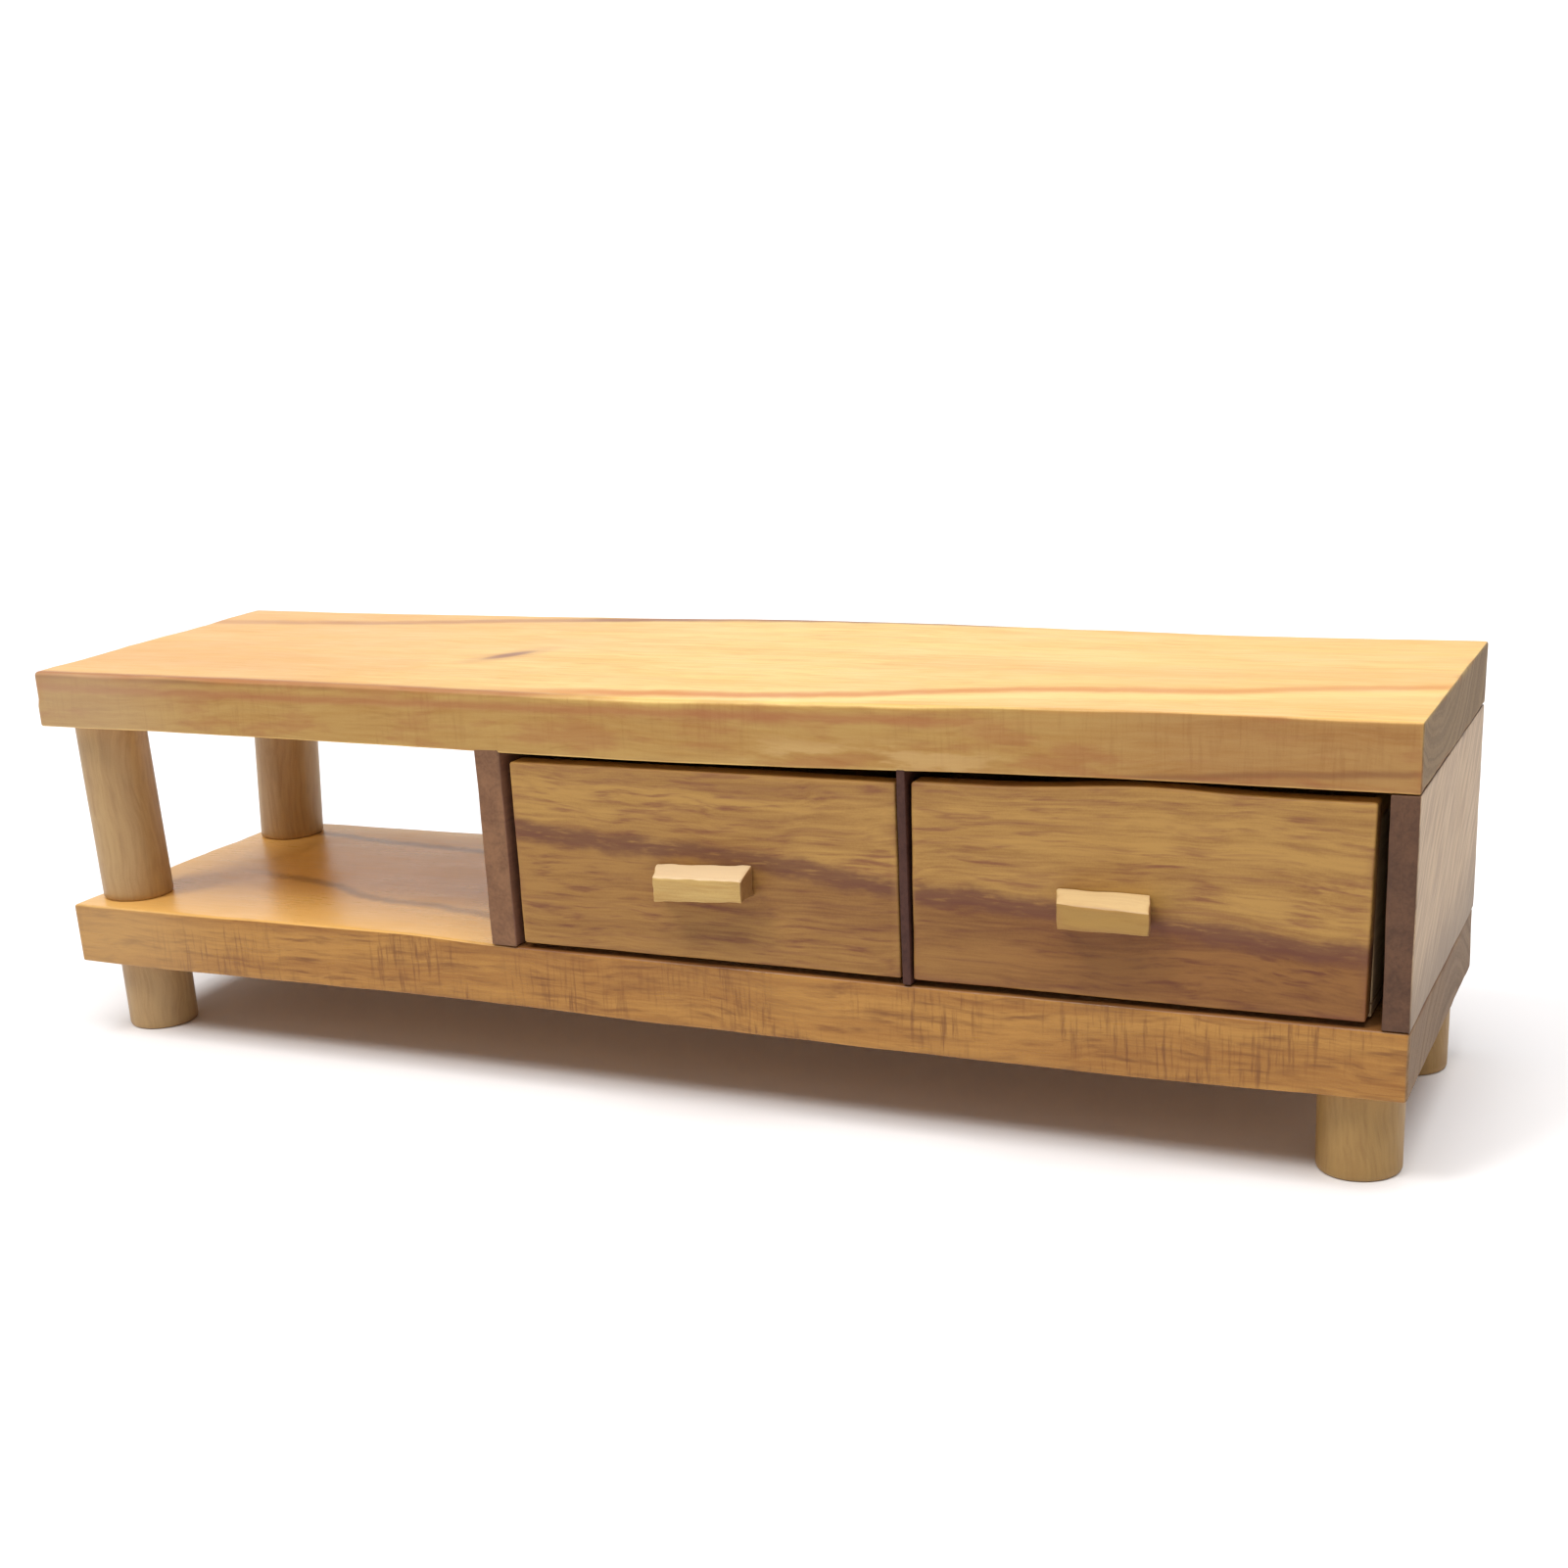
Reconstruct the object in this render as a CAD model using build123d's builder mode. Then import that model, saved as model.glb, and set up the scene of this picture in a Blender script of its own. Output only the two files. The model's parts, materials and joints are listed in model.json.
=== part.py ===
"""Miniature low chest of drawers: two planks, round posts and feet, two drawers and an open bay.

The frame has +X to the right as seen from the front, +Y to the rear and +Z up.
The origin is on the ground, under the middle of the whole box, handles included.
"""

from build123d import *
import os

os.makedirs("parts", exist_ok=True)

# Overall size, in millimetres
LENGTH = 118.6
DEPTH = 31.5
FOOT_HEIGHT = 6.7
SHELF_THICKNESS = 5.5
SHELF_SHORTER = 0.4
OPENING_HEIGHT = 16.6
TOP_THICKNESS = 4.9

# Round posts and feet, cut from one dowel; insets run from the planks' ends and edges to the axes
DOWEL_RADIUS = 3.08
DOWEL_EDGE = 0.2
DOWEL_INSET_Y = 4.8
FOOT_LEFT_INSET_X = 4.75
FOOT_RIGHT_INSET_X = 3.9
POST_FRONT_INSET_X = 3.75
POST_REAR_INSET_X = 4.8
POST_REAR_INSET_Y = 4.05

# The two posts were glued a little aslant: how far each top stands to the right of its foot
POST_FRONT_LEAN = -0.45
POST_REAR_LEAN = 1.1

# Upright panels between the two planks, measured from the left end
PARTITION_LEFT = 45.15
PARTITION_THICKNESS = 2.4
DIVIDER_LEFT = 81.45
DIVIDER_THICKNESS = 0.7
SIDE_PANEL_THICKNESS = 2.0
BACK_PANEL_THICKNESS = 1.5

# Eased edges
PLANK_EDGE = 0.45
PLANK_CORNER = 0.7
PLANK_LOWER_EDGE = 0.25
PANEL_EDGE = 0.15
FRONT_EDGE = 0.25

# Drawers
DRAWER_LEFT_SPAN = (48.2, 81.3)
DRAWER_RIGHT_SPAN = (82.3, 115.6)
FRONT_THICKNESS = 2.0
FRONT_RECESS = 0.2
FRONT_GAP_BELOW = 0.4
DRAWER_LEFT_GAP_ABOVE = 1.1
DRAWER_RIGHT_GAP_ABOVE = 0.75
RUNNING_GAP = 0.15
DRAWER_DEPTH = 29.3
DRAWER_WALL = 1.5
DRAWER_BOTTOM = 1.0
WALL_GAP_ABOVE = 2.35

# Stick handles
HANDLE_PROTRUSION = 2.5
HANDLE_HEIGHT = 2.45
HANDLE_SLOPE_BACK = 2.3
HANDLE_SLOPE_DROP = 0.55
HANDLE_EDGE = 0.12

# Derived places
LEFT_END = -LENGTH / 2
RIGHT_END = LENGTH / 2
HANDLE_OVERHANG = HANDLE_PROTRUSION - FRONT_RECESS
FRONT_Y = HANDLE_OVERHANG - (DEPTH + HANDLE_OVERHANG) / 2
REAR_Y = FRONT_Y + DEPTH
SHELF_TOP = FOOT_HEIGHT + SHELF_THICKNESS
TOP_UNDERSIDE = SHELF_TOP + OPENING_HEIGHT
TOTAL_HEIGHT = TOP_UNDERSIDE + TOP_THICKNESS
FOOT_LEFT_X = LEFT_END + FOOT_LEFT_INSET_X
FOOT_RIGHT_X = RIGHT_END - FOOT_RIGHT_INSET_X
FOOT_FRONT_Y = FRONT_Y + DOWEL_INSET_Y
FOOT_REAR_Y = REAR_Y - DOWEL_INSET_Y
BACK_PANEL_Y = REAR_Y - BACK_PANEL_THICKNESS
CORNER = (Align.MIN, Align.MIN)


# Top plank: flush with the right end and the front, most worn along its upper edges
with BuildPart() as top_board:
    with BuildSketch(Plane.XY.offset(TOP_UNDERSIDE)):
        with Locations((LEFT_END, FRONT_Y)):
            Rectangle(LENGTH, DEPTH, align=CORNER)
    extrude(amount=TOP_THICKNESS)
    fillet(top_board.edges().filter_by(Axis.Z), radius=PLANK_CORNER)
    fillet(top_board.faces().sort_by(Axis.Z)[-1].edges(), radius=PLANK_EDGE)
    fillet(top_board.faces().sort_by(Axis.Z)[0].edges(), radius=PLANK_LOWER_EDGE)
top_board.part.label = "top_board"
export_step(top_board.part, "parts/top_board.step")

# Shelf plank: the cabinet's floor, on which the drawers slide; a little short at its left end
with BuildPart() as shelf_board:
    with BuildSketch(Plane.XY.offset(FOOT_HEIGHT)):
        with Locations((LEFT_END + SHELF_SHORTER, FRONT_Y)):
            Rectangle(LENGTH - SHELF_SHORTER, DEPTH, align=CORNER)
    extrude(amount=SHELF_THICKNESS)
    fillet(shelf_board.edges().filter_by(Axis.Z), radius=PLANK_CORNER)
    fillet(shelf_board.faces().sort_by(Axis.Z)[-1].edges(), radius=PLANK_LOWER_EDGE)
    fillet(shelf_board.faces().sort_by(Axis.Z)[0].edges(), radius=PLANK_EDGE)
shelf_board.part.label = "shelf_board"
export_step(shelf_board.part, "parts/shelf_board.step")


def make_dowel(node, x, y, z, height, lean=0.0):
    """A length of dowel with its axis over (x, y) at half height, its sharp rims just broken."""
    with BuildPart() as dowel:
        with BuildSketch(Plane.XY.offset(z)):
            with Locations((x - lean / 2, y)):
                Circle(DOWEL_RADIUS)
        axis = Vector(lean, 0, height)
        extrude(amount=axis.length, dir=axis.normalized())
        chamfer(dowel.edges().filter_by(GeomType.CIRCLE), length=DOWEL_EDGE)
    dowel.part.label = node
    export_step(dowel.part, f"parts/{node}.step")


# Two posts hold the top plank over the open bay
post_front_x = LEFT_END + POST_FRONT_INSET_X
post_rear_x = LEFT_END + POST_REAR_INSET_X
post_rear_y = REAR_Y - POST_REAR_INSET_Y
make_dowel("post_front_left", post_front_x, FOOT_FRONT_Y, SHELF_TOP, OPENING_HEIGHT, POST_FRONT_LEAN)
make_dowel("post_rear_left", post_rear_x, post_rear_y, SHELF_TOP, OPENING_HEIGHT, POST_REAR_LEAN)

# Four feet under the shelf plank
make_dowel("foot_front_left", FOOT_LEFT_X, FOOT_FRONT_Y, 0, FOOT_HEIGHT)
make_dowel("foot_rear_left", FOOT_LEFT_X, FOOT_REAR_Y, 0, FOOT_HEIGHT)
make_dowel("foot_front_right", FOOT_RIGHT_X, FOOT_FRONT_Y, 0, FOOT_HEIGHT)
make_dowel("foot_rear_right", FOOT_RIGHT_X, FOOT_REAR_Y, 0, FOOT_HEIGHT)


def make_upright(node, x, thickness, depth):
    """An upright panel between the planks, its front edge in line with theirs."""
    with BuildPart() as upright:
        with BuildSketch(Plane.XY.offset(SHELF_TOP)):
            with Locations((x, FRONT_Y)):
                Rectangle(thickness, depth, align=CORNER)
        extrude(amount=OPENING_HEIGHT)
        front_edges = upright.faces().sort_by(Axis.Y)[0].edges().filter_by(Axis.Z)
        fillet(front_edges, radius=PANEL_EDGE)
    upright.part.label = node
    export_step(upright.part, f"parts/{node}.step")


make_upright("left_partition", LEFT_END + PARTITION_LEFT, PARTITION_THICKNESS, DEPTH)
make_upright("centre_divider", LEFT_END + DIVIDER_LEFT, DIVIDER_THICKNESS, BACK_PANEL_Y - FRONT_Y)
make_upright("right_side_panel", RIGHT_END - SIDE_PANEL_THICKNESS, SIDE_PANEL_THICKNESS, DEPTH)

# Back panel: closes the cabinet behind the drawers, between the partition and the side panel
back_panel_left = LEFT_END + PARTITION_LEFT + PARTITION_THICKNESS
back_panel_width = RIGHT_END - SIDE_PANEL_THICKNESS - back_panel_left
with BuildPart() as back_panel:
    with BuildSketch(Plane.XY.offset(SHELF_TOP)):
        with Locations((back_panel_left, BACK_PANEL_Y)):
            Rectangle(back_panel_width, BACK_PANEL_THICKNESS, align=CORNER)
    extrude(amount=OPENING_HEIGHT)
back_panel.part.label = "back_panel"
export_step(back_panel.part, "parts/back_panel.step")


def make_drawer(name, span, gap_above):
    """A drawer's glued box: the sides and back stand on the bottom, the front covers them all."""
    left = LEFT_END + span[0]
    width = span[1] - span[0]
    face_y = FRONT_Y + FRONT_RECESS
    box_y = face_y + FRONT_THICKNESS
    box_depth = DRAWER_DEPTH - FRONT_THICKNESS
    bottom_z = SHELF_TOP + RUNNING_GAP
    wall_z = bottom_z + DRAWER_BOTTOM
    front_z = SHELF_TOP + FRONT_GAP_BELOW
    front_height = OPENING_HEIGHT - FRONT_GAP_BELOW - gap_above
    wall_height = TOP_UNDERSIDE - WALL_GAP_ABOVE - wall_z

    with BuildPart() as front:
        with BuildSketch(Plane.XY.offset(front_z)):
            with Locations((left, face_y)):
                Rectangle(width, FRONT_THICKNESS, align=CORNER)
        extrude(amount=front_height)
        fillet(front.faces().sort_by(Axis.Y)[0].edges(), radius=FRONT_EDGE)
    front.part.label = f"{name}_front"
    export_step(front.part, f"parts/{name}_front.step")

    with BuildPart() as bottom:
        with BuildSketch(Plane.XY.offset(bottom_z)):
            with Locations((left, box_y)):
                Rectangle(width, box_depth, align=CORNER)
        extrude(amount=DRAWER_BOTTOM)
    bottom.part.label = f"{name}_bottom"
    export_step(bottom.part, f"parts/{name}_bottom.step")

    for side, side_x in (("left", left), ("right", left + width - DRAWER_WALL)):
        with BuildPart() as wall:
            with BuildSketch(Plane.XY.offset(wall_z)):
                with Locations((side_x, box_y)):
                    Rectangle(DRAWER_WALL, box_depth, align=CORNER)
            extrude(amount=wall_height)
            top_edges = wall.faces().sort_by(Axis.Z)[-1].edges().filter_by(Axis.Y)
            fillet(top_edges, radius=PANEL_EDGE)
        wall.part.label = f"{name}_{side}_side"
        export_step(wall.part, f"parts/{name}_{side}_side.step")

    with BuildPart() as back:
        with BuildSketch(Plane.XY.offset(wall_z)):
            with Locations((left + DRAWER_WALL, box_y + box_depth - DRAWER_WALL)):
                Rectangle(width - 2 * DRAWER_WALL, DRAWER_WALL, align=CORNER)
        extrude(amount=wall_height)
        top_edges = back.faces().sort_by(Axis.Z)[-1].edges().filter_by(Axis.X)
        fillet(top_edges, radius=PANEL_EDGE)
    back.part.label = f"{name}_back"
    export_step(back.part, f"parts/{name}_back.step")


make_drawer("drawer_left", DRAWER_LEFT_SPAN, DRAWER_LEFT_GAP_ABOVE)
make_drawer("drawer_right", DRAWER_RIGHT_SPAN, DRAWER_RIGHT_GAP_ABOVE)


def make_handle(node, span, underside, tilt, left_skew, right_skew):
    """A short stick glued to a drawer front: sloping top, ends sawn at a slant in plan."""
    middle_x = LEFT_END + (span[0] + span[1]) / 2
    half_length = (span[1] - span[0]) / 2
    stick_plane = Plane(origin=(middle_x, FRONT_Y + FRONT_RECESS, underside)).rotated((0, -tilt, 0))
    with BuildPart() as handle:
        with BuildSketch(stick_plane):
            with BuildLine():
                Polyline(
                    (-half_length, 0),
                    (half_length, 0),
                    (half_length + right_skew, -HANDLE_PROTRUSION),
                    (-half_length + left_skew, -HANDLE_PROTRUSION),
                    close=True,
                )
            make_face()
        extrude(amount=HANDLE_HEIGHT)
        front_face = handle.faces().sort_by(Axis.Y)[0]
        top_edge = front_face.edges().sort_by(Axis.Z)[-1]
        top_face = handle.faces().sort_by(Axis.Z)[-1]
        chamfer(top_edge, length=HANDLE_SLOPE_BACK, length2=HANDLE_SLOPE_DROP, reference=top_face)
        fillet(handle.faces().sort_by(Axis.Y)[0].edges(), radius=HANDLE_EDGE)
    handle.part.label = node
    export_step(handle.part, f"parts/{node}.step")


make_handle("drawer_left_handle", (61.1, 69.4), 18.05, 3.0, 0.9, 0.1)
make_handle("drawer_right_handle", (93.5, 100.5), 18.3, 0.0, 0.8, 0.6)
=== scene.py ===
"""Looks of the miniature low chest of drawers: worn planks, dowels, sticks and their wood.

Every piece is made to the box of the CAD node that it replaces, then worn and warped a little.
Lengths are in millimetres until a mesh is made, and grain lines have their places in the frame.
"""
import json
import math

import bpy
import numpy as np
from mathutils import Matrix, Vector


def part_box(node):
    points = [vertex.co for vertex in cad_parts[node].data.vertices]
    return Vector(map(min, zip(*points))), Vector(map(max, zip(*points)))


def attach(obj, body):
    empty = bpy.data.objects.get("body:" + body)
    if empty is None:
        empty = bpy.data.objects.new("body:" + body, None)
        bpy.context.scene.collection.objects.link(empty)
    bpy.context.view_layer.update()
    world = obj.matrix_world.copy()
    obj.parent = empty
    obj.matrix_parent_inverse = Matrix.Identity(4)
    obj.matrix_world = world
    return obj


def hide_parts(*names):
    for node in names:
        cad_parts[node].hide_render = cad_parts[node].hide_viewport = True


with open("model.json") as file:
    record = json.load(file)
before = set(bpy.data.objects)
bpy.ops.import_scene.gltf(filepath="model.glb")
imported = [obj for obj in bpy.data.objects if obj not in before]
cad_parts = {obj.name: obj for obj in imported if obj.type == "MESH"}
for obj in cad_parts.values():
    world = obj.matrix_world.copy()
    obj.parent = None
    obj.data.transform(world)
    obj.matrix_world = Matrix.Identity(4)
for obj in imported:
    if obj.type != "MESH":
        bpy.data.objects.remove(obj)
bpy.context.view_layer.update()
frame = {"nodes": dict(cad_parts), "record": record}

MM = 0.001
BODY_OF = {
    node: body
    for body, nodes in frame["record"]["behaviour"]["bodies"].items()
    for node in nodes
}


def box_mm(node):
    """Lowest and highest corners of a CAD node, in millimetres."""
    low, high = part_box(node)
    return np.array(low) / MM, np.array(high) / MM


# ---------------------------------------------------------------- camera, light and floor

CAMERA_PLACE = (79.1, -154.3, 63.2)
CAMERA_TURN = -25.55
CAMERA_PITCH = -18.39
CAMERA_ROLL = -2.94
CAMERA_LENS = 48.5
CAMERA_SHIFT = 0.1246
BACKDROP = 1.1
SOFT_LIGHT = 0.26
FLOOR_HALF = 3.0
FLOOR_DROP = 0.03


def make_camera():
    """The photograph's view: from the front right, a little above the top."""
    data = bpy.data.cameras.new("camera")
    data.sensor_width = 36.0
    data.lens = CAMERA_LENS
    data.shift_y = CAMERA_SHIFT
    data.clip_start = 0.005
    data.clip_end = 20.0
    camera = bpy.data.objects.new("camera", data)
    turn = math.radians(CAMERA_TURN)
    pitch = math.radians(CAMERA_PITCH)
    roll = math.radians(CAMERA_ROLL)
    ahead = Vector((
        math.sin(turn) * math.cos(pitch),
        math.cos(turn) * math.cos(pitch),
        math.sin(pitch),
    ))
    level = Vector((math.cos(turn), -math.sin(turn), 0.0))
    upright = level.cross(ahead)
    right = math.cos(roll) * level + math.sin(roll) * upright
    up = right.cross(ahead)
    rotation = Matrix((right, up, -ahead)).transposed()
    camera.matrix_world = Matrix.Translation(Vector(CAMERA_PLACE) * MM) @ rotation.to_4x4()
    bpy.context.scene.collection.objects.link(camera)
    bpy.context.scene.camera = camera


def make_sun(name, toward, strength, spread, colour):
    """A soft light from far away; toward points from the object to the light."""
    data = bpy.data.lights.new(name, "SUN")
    data.energy = strength
    data.angle = math.radians(spread)
    data.color = colour
    sun = bpy.data.objects.new(name, data)
    sun.rotation_euler = Vector(toward).to_track_quat("Z", "Y").to_euler()
    bpy.context.scene.collection.objects.link(sun)


def make_world(strength):
    """White all round: bright to look at and in reflections, dimmer as the object's soft light."""
    world = bpy.data.worlds.new("studio")
    world.use_nodes = True
    tree = world.node_tree
    tree.nodes.clear()
    seen = tree.nodes.new("ShaderNodeBackground")
    seen.inputs["Color"].default_value = (1, 1, 1, 1)
    seen.inputs["Strength"].default_value = BACKDROP
    light = tree.nodes.new("ShaderNodeBackground")
    light.inputs["Color"].default_value = (0.97, 0.98, 1.0, 1)
    light.inputs["Strength"].default_value = strength
    path = tree.nodes.new("ShaderNodeLightPath")
    choose = tree.nodes.new("ShaderNodeMixShader")
    output = tree.nodes.new("ShaderNodeOutputWorld")
    tree.links.new(path.outputs["Is Diffuse Ray"], choose.inputs["Fac"])
    tree.links.new(seen.outputs["Background"], choose.inputs[1])
    tree.links.new(light.outputs["Background"], choose.inputs[2])
    tree.links.new(choose.outputs["Shader"], output.inputs["Surface"])
    bpy.context.scene.world = world


def make_floor():
    """A plain pale floor."""
    material = bpy.data.materials.new("floor_paper")
    material.use_nodes = True
    surface = material.node_tree.nodes["Principled BSDF"]
    surface.inputs["Base Color"].default_value = (0.93, 0.92, 0.935, 1)
    surface.inputs["Roughness"].default_value = 0.9
    surface.inputs["Specular IOR Level"].default_value = 0.1
    half = FLOOR_HALF
    mesh = bpy.data.meshes.new("floor")
    corners = [(-half, -half, 0), (half, -half, 0), (half, half, 0), (-half, half, 0)]
    mesh.from_pydata(corners, [], [(0, 1, 2, 3)])
    mesh.materials.append(material)
    floor = bpy.data.objects.new("floor", mesh)
    floor.location.z = -FLOOR_DROP * MM
    bpy.context.scene.collection.objects.link(floor)


# ---------------------------------------------------------------- wood, by shader nodes


FACING_LIMITS = (0.35, 0.75)
BUMP_STRENGTH = 0.35
BUMP_DEPTH = 0.06
SAWN_ROUGH = 0.7
PLANK_ENDS = ((0, 1, SAWN_ROUGH), (0, -1, SAWN_ROUGH))


class Wood:
    """A wood material under construction. Its places are in millimetres, in the object's frame."""

    def __init__(self, name):
        self.material = bpy.data.materials.new(name)
        self.material.use_nodes = True
        self.tree = self.material.node_tree
        self.surface = self.tree.nodes["Principled BSDF"]
        source = self.tree.nodes.new("ShaderNodeTexCoord")
        place = self.vector_math("SCALE", source.outputs["Object"], scale=1 / MM)
        self.x, self.y, self.z = self.split(place)
        self.normal = self.split(source.outputs["Normal"])

    def fill(self, socket, value):
        """Links a socket or sets its plain value."""
        if isinstance(value, bpy.types.NodeSocket):
            self.tree.links.new(value, socket)
        else:
            socket.default_value = value

    def split(self, vector):
        node = self.tree.nodes.new("ShaderNodeSeparateXYZ")
        self.fill(node.inputs[0], vector)
        return node.outputs[0], node.outputs[1], node.outputs[2]

    def join(self, a, b, c):
        node = self.tree.nodes.new("ShaderNodeCombineXYZ")
        for socket, value in zip(node.inputs, (a, b, c)):
            self.fill(socket, value)
        return node.outputs[0]

    def vector_math(self, operation, a, scale=1.0):
        node = self.tree.nodes.new("ShaderNodeVectorMath")
        node.operation = operation
        self.fill(node.inputs[0], a)
        node.inputs["Scale"].default_value = scale
        return node.outputs[0]

    def math(self, operation, a, b=0.0, clamp=False):
        node = self.tree.nodes.new("ShaderNodeMath")
        node.operation = operation
        node.use_clamp = clamp
        self.fill(node.inputs[0], a)
        self.fill(node.inputs[1], b)
        return node.outputs[0]

    def add(self, a, b):
        return self.math("ADD", a, b)

    def less(self, a, b):
        return self.math("SUBTRACT", a, b)

    def times(self, a, b):
        return self.math("MULTIPLY", a, b)

    def flip(self, a):
        return self.math("SUBTRACT", 1.0, a)

    def noise(self, vector, detail=3.0, rough=0.55, distort=0.0):
        node = self.tree.nodes.new("ShaderNodeTexNoise")
        node.inputs["Scale"].default_value = 1.0
        node.inputs["Detail"].default_value = detail
        node.inputs["Roughness"].default_value = rough
        node.inputs["Distortion"].default_value = distort
        self.fill(node.inputs["Vector"], vector)
        return node.outputs["Fac"]

    def step(self, value, low, high):
        """0 at low, 1 at high, smooth between; low may be above high."""
        node = self.tree.nodes.new("ShaderNodeMapRange")
        node.interpolation_type = "SMOOTHSTEP"
        self.fill(node.inputs["Value"], value)
        if low < high:
            node.inputs["From Min"].default_value = low
            node.inputs["From Max"].default_value = high
        else:
            node.inputs["From Min"].default_value = high
            node.inputs["From Max"].default_value = low
            node.inputs["To Min"].default_value = 1.0
            node.inputs["To Max"].default_value = 0.0
        return node.outputs["Result"]

    def mix(self, share, a, b, blend="MIX"):
        node = self.tree.nodes.new("ShaderNodeMix")
        node.data_type = "RGBA"
        node.blend_type = blend
        self.fill(node.inputs[0], share)
        self.fill(node.inputs[6], a)
        self.fill(node.inputs[7], b)
        return node.outputs[2]

    def stain(self, colour, tone, *shares):
        """Mixes a tone into a colour, by the product of the shares."""
        share = shares[0]
        for part in shares[1:]:
            share = self.times(share, part)
        return self.mix(share, colour, (*tone, 1))

    def filter(self, colour, tone, share):
        """Multiplies a colour by a tone, as far as the share goes."""
        return self.mix(share, colour, (*tone, 1), blend="MULTIPLY")

    def curve(self, value, points):
        """A smooth line through (place, height) points, in order of place."""
        low = points[0][0]
        high = points[-1][0]
        bottom = min(p[1] for p in points)
        top = max(p[1] for p in points)
        reach = max(top - bottom, 0.001)
        share = self.tree.nodes.new("ShaderNodeMapRange")
        self.fill(share.inputs["Value"], value)
        share.inputs["From Min"].default_value = low
        share.inputs["From Max"].default_value = high
        node = self.tree.nodes.new("ShaderNodeFloatCurve")
        line = node.mapping.curves[0]
        scaled = [((p[0] - low) / (high - low), (p[1] - bottom) / reach) for p in points]
        line.points[0].location = scaled[0]
        line.points[1].location = scaled[-1]
        for point in scaled[1:-1]:
            line.points.new(*point)
        node.mapping.update()
        self.fill(node.inputs["Value"], share.outputs["Result"])
        return self.add(self.times(node.outputs[0], reach), bottom)

    def attribute(self, name):
        node = self.tree.nodes.new("ShaderNodeAttribute")
        node.attribute_name = name
        return node.outputs["Fac"]

    def facing(self, axis, sign):
        """1 on faces that look along an axis, 0 elsewhere."""
        return self.step(self.times(self.normal[axis], float(sign)), *FACING_LIMITS)

    def rings(self, heart_y, heart_z, seed):
        """Uneven growth rings and pores on a sawn end, about a heart outside the plank."""
        off_y = self.less(self.y, heart_y)
        off_z = self.less(self.z, heart_z)
        reach = self.math("SQRT", self.add(self.times(off_y, off_y), self.times(off_z, off_z)))
        sway = self.noise(self.join(seed, self.times(self.y, 0.2), self.times(self.z, 0.3)))
        reach = self.add(reach, self.times(self.less(sway, 0.5), 1.6))
        ring = self.noise(self.join(self.times(reach, 1.3), seed, 0.0), detail=4.0, rough=0.6)
        pore = self.noise(self.join(seed, self.times(self.y, 4.5), self.times(self.z, 4.5)), detail=2.0)
        return self.step(self.add(ring, self.times(self.less(pore, 0.5), 0.3)), 0.38, 0.62)

    def streak(self, along, across, points, half, soft, ragged, seed, fade=4.0):
        """A wandering line in the grain: 1 on its middle, 0 past half plus soft, fading at its ends."""
        low = points[0][0]
        high = points[-1][0]
        middle = self.curve(along, points)
        wobble = self.noise(self.join(self.times(along, 0.35), seed, 0.0), detail=4.0)
        away = self.less(across, self.add(middle, self.times(self.less(wobble, 0.5), ragged)))
        line = self.step(self.math("ABSOLUTE", away), half + soft, half * 0.3)
        ends = self.times(self.step(along, low, low + fade), self.step(along, high, high - fade))
        return self.times(line, ends)


def grain_fields(w, grain, seed):
    """The random fields of one wood: fine fibre, broad figure, short and long dashes, blotches."""
    places = {"X": (w.x, w.y, w.z), "Y": (w.y, w.x, w.z), "Z": (w.z, w.x, w.y)}[grain]
    drift = w.noise(w.join(w.times(w.x, 0.03), w.times(w.y, 0.05), w.add(w.times(w.z, 0.05), seed)))
    bend = w.times(w.less(drift, 0.5), 5.0)
    along = w.add(places[0], seed * 37.0)
    across = w.add(places[1], bend)
    through = w.add(places[2], bend)
    fibre = w.noise(
        w.join(w.times(along, 0.16), w.times(across, 3.6), w.times(through, 3.6)),
        detail=5.0, rough=0.65,
    )
    broad = w.noise(
        w.join(w.times(along, 0.022), w.times(across, 0.42), w.times(through, 0.42)),
        detail=3.0, rough=0.5, distort=0.4,
    )
    short = w.noise(
        w.join(w.times(along, 0.24), w.times(across, 2.3), w.times(through, 2.3)),
        detail=3.0, rough=0.55,
    )
    long = w.noise(
        w.join(w.times(along, 0.07), w.times(across, 1.5), w.add(w.times(through, 1.5), 9.0)),
        detail=4.0, rough=0.6,
    )
    blotch = w.noise(w.join(w.times(w.x, 0.11), w.times(w.y, 0.2), w.add(w.times(w.z, 0.2), seed)))
    return fibre, broad, short, long, blotch


def saw_marks(w, colour, height, dark, seed, amount):
    """Upright saw cuts, in patches, on the front and rear faces."""
    cuts = w.noise(w.join(w.times(w.x, 3.6), w.times(w.y, 3.6), w.times(w.z, 0.3)), detail=4.0)
    patch = w.step(w.noise(w.join(w.times(w.x, 0.09), seed, w.times(w.z, 0.1))), 0.38, 0.6)
    sawn = w.math("MAXIMUM", w.facing(1, -1), w.facing(1, 1))
    mark = w.times(w.times(w.step(cuts, 0.48, 0.72), patch), w.times(sawn, amount))
    return w.mix(mark, colour, dark), w.less(height, w.times(mark, 0.8))


def edge_wear_and_highlight(w, colour, pale, dark, blotch, rub_and_highlight):
    """Edges are made pale in some stretches, as wear and as a painted highlight, and soiled in others.
    """
    edge = w.attribute("edge")
    # pale stretches on the edges: rubbed wear and a painted highlight
    rubbed = w.times(edge, w.step(blotch, 0.42, 0.62))
    colour = w.mix(w.times(rubbed, rub_and_highlight), colour, (*[min(1.0, c * 1.25) for c in pale], 1))
    soiled = w.times(edge, w.step(blotch, 0.52, 0.36))
    return w.mix(w.times(soiled, 0.45), colour, dark)


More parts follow.
